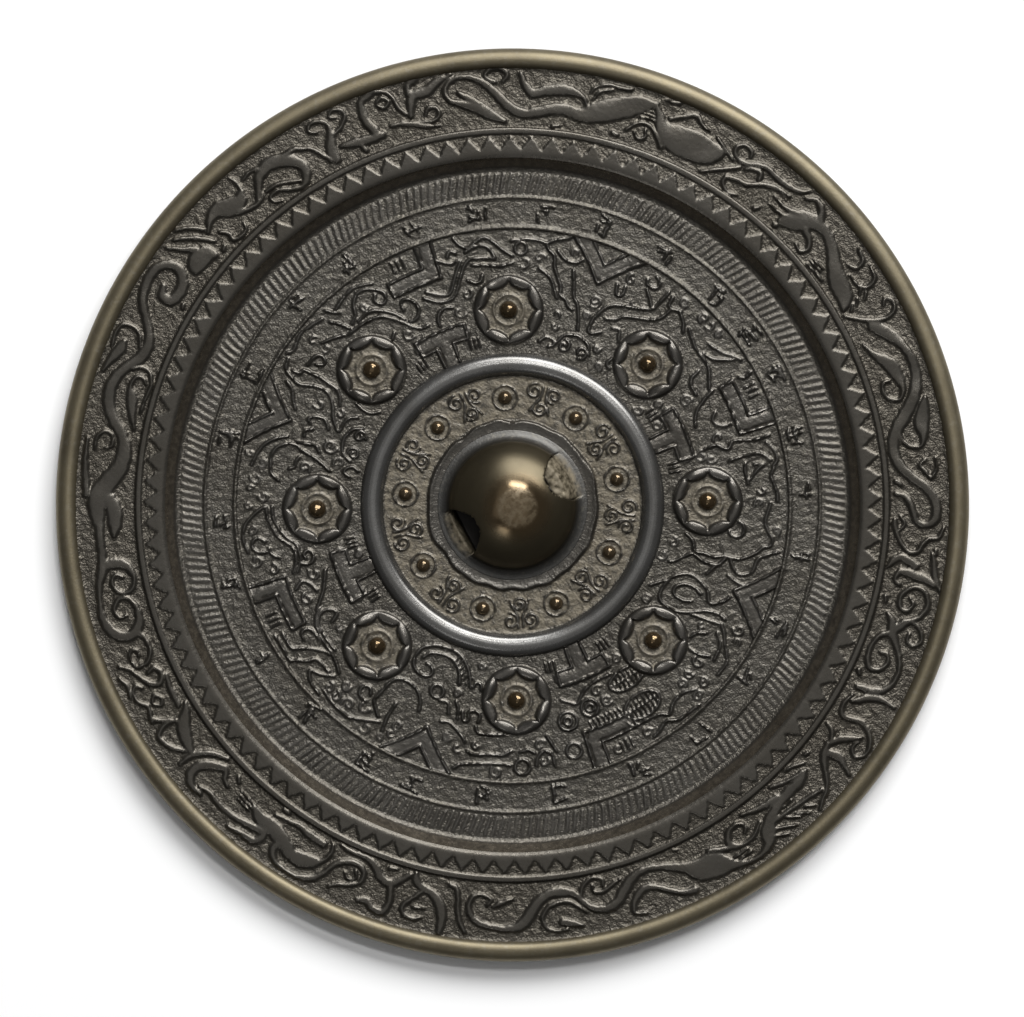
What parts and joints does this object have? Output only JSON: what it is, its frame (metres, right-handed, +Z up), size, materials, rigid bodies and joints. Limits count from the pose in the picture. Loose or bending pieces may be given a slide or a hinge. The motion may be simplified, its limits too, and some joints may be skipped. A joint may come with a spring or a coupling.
{
  "type": "bronze mirror",
  "caption": "Round cast bronze hand mirror lying on its face, with a pierced round knob, ring of rosettes and raised ornament on the back.",
  "frame": {"origin": "centre of the reflecting face, on the surface the mirror lies on", "axes": "+Z up out of the decorated back, +X along the cord hole through the knob"},
  "size_m": [0.182, 0.1824, 0.0114],
  "materials": {
    "bronze": "old patinated bronze, dark brown with olive worn edges and tan earth in the hollows"
  },
  "bodies": {
    "root": {"mirror": "bronze"}
  },
  "joints": []
}
